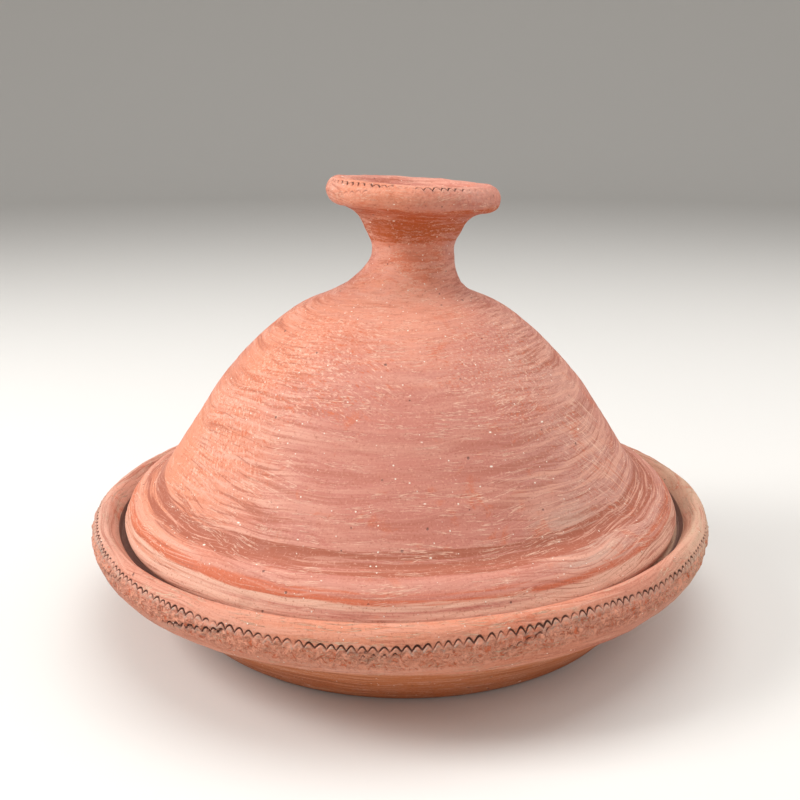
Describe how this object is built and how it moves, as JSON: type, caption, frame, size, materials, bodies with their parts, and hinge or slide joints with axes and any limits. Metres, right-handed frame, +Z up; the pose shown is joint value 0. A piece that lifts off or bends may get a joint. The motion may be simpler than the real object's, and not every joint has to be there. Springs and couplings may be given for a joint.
{
  "type": "tagine",
  "caption": "Covered casserole dish of unglazed terracotta: a shallow dish with a thick rolled rim, and a tall domed lid with a waisted cup-shaped knob that lifts off.",
  "frame": {"origin": "centre of the dish's flat foot, on the surface that it stands on", "axes": "+Z up, along the axis that the dish and the lid were thrown about; the dish is round, so +X and +Y have no front of their own"},
  "size_m": [0.3, 0.3, 0.2045],
  "materials": {
    "dish_clay": "unglazed fired terracotta, brown-orange, smoothed with a wet hand",
    "rim_clay": "unglazed fired terracotta, pink to tan, with a dark stamped line",
    "lid_clay": "unglazed fired terracotta, salmon red, brushed slip with pale specks",
    "knob_clay": "unglazed fired terracotta, orange-pink, with a stamped lip"
  },
  "bodies": {
    "dish": {"dish_bowl": "dish_clay", "dish_rim_coil": "rim_clay"},
    "lid": {"lid_shell": "lid_clay", "lid_knob": "knob_clay"}
  },
  "joints": [
    {"name": "lid_lift", "type": "slide", "parent": "dish", "child": "lid", "axis": [0, 0, 1], "range_m": [0, 0.18]}
  ]
}
